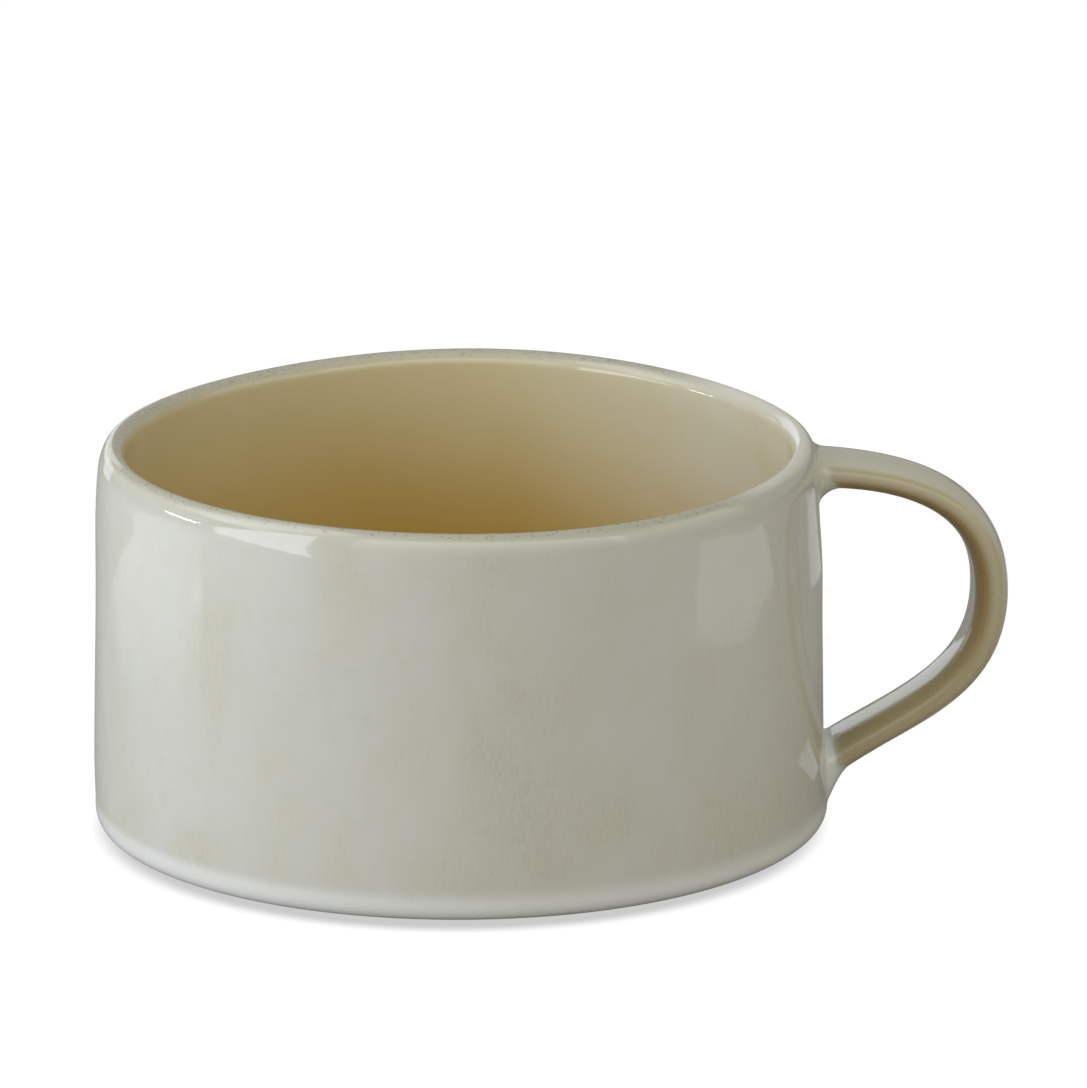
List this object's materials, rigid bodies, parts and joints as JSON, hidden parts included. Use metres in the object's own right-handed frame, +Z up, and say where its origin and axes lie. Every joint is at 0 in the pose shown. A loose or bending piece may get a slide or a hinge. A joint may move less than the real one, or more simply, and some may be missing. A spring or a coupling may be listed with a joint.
{
  "type": "wide ceramic soup mug",
  "caption": "Wide, low, straight-sided ceramic soup mug, empty, with a rounded lip and foot and a flattened loop handle on one side.",
  "frame": {"origin": "middle of the flat base", "axes": "+Z up out of the mouth, +X towards the handle"},
  "size_m": [0.1499, 0.12, 0.0638],
  "materials": {
    "glaze": "glossy translucent grey-white glaze over cream stoneware"
  },
  "bodies": {
    "root": {"soup_mug": "glaze"}
  },
  "joints": []
}
